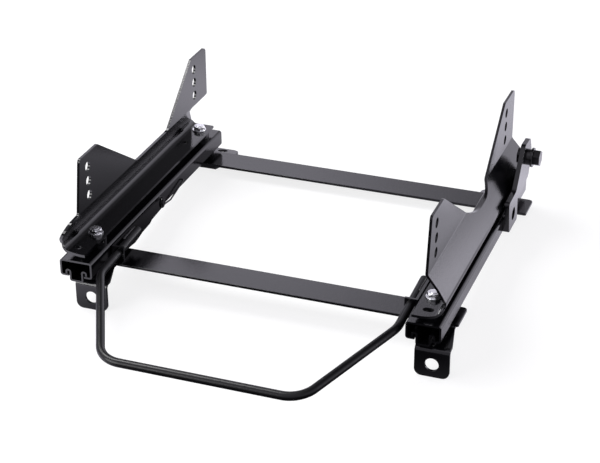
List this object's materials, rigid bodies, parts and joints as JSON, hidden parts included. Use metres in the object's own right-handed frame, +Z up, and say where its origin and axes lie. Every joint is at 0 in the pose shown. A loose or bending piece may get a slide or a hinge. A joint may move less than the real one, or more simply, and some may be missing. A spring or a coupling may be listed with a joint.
{
  "type": "seat slide rail",
  "caption": "Black steel seat slide rail with folded side brackets, slide tracks, flat cross bars, lift-bar release handle, floor feet and a belt stay.",
  "frame": {"origin": "centre of the seat's bolt pattern, midway between the ears and between the hole columns, at the middle holes", "axes": "+X to the belt stay's side, +Y to the rear, +Z up, square to the cross bars"},
  "size_m": [0.4686, 0.5179, 0.1775],
  "materials": {
    "black_paint": "satin black powder coat",
    "zinc_plate": "bright zinc plate",
    "glide_plastic": "moulded matte"
  },
  "bodies": {
    "base": {"left_lower_rail": "black_paint", "right_lower_rail": "black_paint", "front_crossbar": "black_paint", "rear_crossbar": "black_paint", "left_front_foot": "black_paint", "right_front_foot": "black_paint", "left_rear_foot": "black_paint", "right_rear_foot": "black_paint", "travel_stops": "zinc_plate"},
    "carriage": {"left_upper_rail": "black_paint", "right_upper_rail": "black_paint", "left_side_bracket": "black_paint", "right_side_bracket": "black_paint", "belt_stay": "black_paint", "belt_bolt": "black_paint", "belt_collar": "black_paint", "belt_washer": "black_paint", "belt_nut": "black_paint", "bracket_spacers": "black_paint", "lock_pivots": "black_paint", "pivot_clips": "black_paint", "left_lock_spring": "black_paint", "right_lock_spring": "black_paint", "bracket_studs": "zinc_plate", "bracket_washers": "zinc_plate", "bracket_nuts": "zinc_plate", "left_glides": "glide_plastic", "right_glides": "glide_plastic"},
    "handle": {"release_handle": "black_paint", "left_lock_lever": "black_paint", "right_lock_lever": "black_paint"}
  },
  "joints": [
    {"name": "seat_slide", "type": "slide", "parent": "base", "child": "carriage", "axis": [0, 1, 0], "range_m": [-0.096, 0.096]},
    {"name": "handle_lift", "type": "hinge", "parent": "carriage", "child": "handle", "pos_m": [0, -0.005, -0.0901], "axis": [-1, 0, 0], "range_deg": [0, 6], "stiffness_Nm_per_rad": 4, "springref_deg": -34.38, "deforming": ["left_lock_spring", "right_lock_spring"]}
  ]
}
